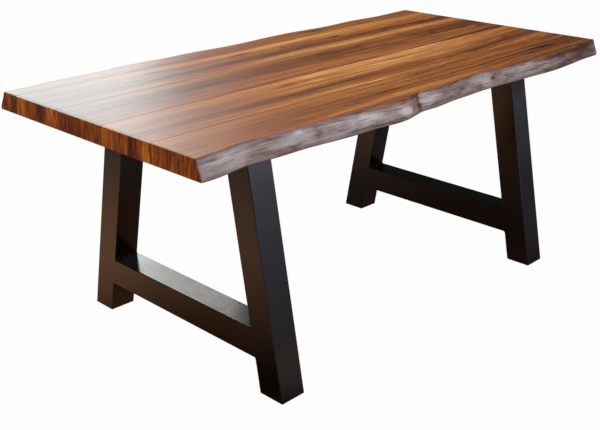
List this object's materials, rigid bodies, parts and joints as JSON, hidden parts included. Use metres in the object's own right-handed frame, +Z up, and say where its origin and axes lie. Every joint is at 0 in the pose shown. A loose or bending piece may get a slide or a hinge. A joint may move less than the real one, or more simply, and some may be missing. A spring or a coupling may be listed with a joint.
{
  "type": "live edge dining table",
  "caption": "Dining table with an edge-glued hardwood top, live edges on both long sides, on two A-frames of square steel tube with levelling feet.",
  "frame": {"origin": "on the floor, under the middle of the top", "axes": "+X along the table, +Y across it towards the narrower live-edge plank, +Z up"},
  "size_m": [1.83, 0.9286, 0.76],
  "materials": {
    "oiled_hardwood": "oiled satin, with darker and lighter planks and a greyed bark side",
    "beech": "plain pressed beech",
    "powder_coated_steel": "black satin powder coat",
    "zinc_plated_steel": "bright zinc plate",
    "black_nylon": "moulded matt nylon"
  },
  "bodies": {
    "root": {"front_live_edge_plank": "oiled_hardwood", "front_inner_plank": "oiled_hardwood", "middle_plank": "oiled_hardwood", "back_inner_plank": "oiled_hardwood", "back_live_edge_plank": "oiled_hardwood", "seam_1_biscuits": "beech", "seam_2_biscuits": "beech", "seam_3_biscuits": "beech", "seam_4_biscuits": "beech", "left_crossbar": "powder_coated_steel", "left_mounting_plate": "powder_coated_steel", "left_weld_beads": "powder_coated_steel", "left_mounting_bolts": "zinc_plated_steel", "left_washers": "zinc_plated_steel", "left_threaded_inserts": "zinc_plated_steel", "left_front_leg": "powder_coated_steel", "left_front_foot_plate": "powder_coated_steel", "left_front_weld_nut": "zinc_plated_steel", "left_back_leg": "powder_coated_steel", "left_back_foot_plate": "powder_coated_steel", "left_back_weld_nut": "zinc_plated_steel", "right_crossbar": "powder_coated_steel", "right_mounting_plate": "powder_coated_steel", "right_weld_beads": "powder_coated_steel", "right_mounting_bolts": "zinc_plated_steel", "right_washers": "zinc_plated_steel", "right_threaded_inserts": "zinc_plated_steel", "right_front_leg": "powder_coated_steel", "right_front_foot_plate": "powder_coated_steel", "right_front_weld_nut": "zinc_plated_steel", "right_back_leg": "powder_coated_steel", "right_back_foot_plate": "powder_coated_steel", "right_back_weld_nut": "zinc_plated_steel"},
    "left_front_leveller": {"left_front_leveller_stem": "zinc_plated_steel", "left_front_leveller_pad": "black_nylon"},
    "left_back_leveller": {"left_back_leveller_stem": "zinc_plated_steel", "left_back_leveller_pad": "black_nylon"},
    "right_front_leveller": {"right_front_leveller_stem": "zinc_plated_steel", "right_front_leveller_pad": "black_nylon"},
    "right_back_leveller": {"right_back_leveller_stem": "zinc_plated_steel", "right_back_leveller_pad": "black_nylon"}
  },
  "joints": [
    {"name": "left_front_leveller_travel", "type": "slide", "parent": "root", "child": "left_front_leveller", "axis": [0, 0, -1], "range_m": [0, 0.012]},
    {"name": "left_back_leveller_travel", "type": "slide", "parent": "root", "child": "left_back_leveller", "axis": [0, 0, -1], "range_m": [0, 0.012]},
    {"name": "right_front_leveller_travel", "type": "slide", "parent": "root", "child": "right_front_leveller", "axis": [0, 0, -1], "range_m": [0, 0.012]},
    {"name": "right_back_leveller_travel", "type": "slide", "parent": "root", "child": "right_back_leveller", "axis": [0, 0, -1], "range_m": [0, 0.012]}
  ]
}
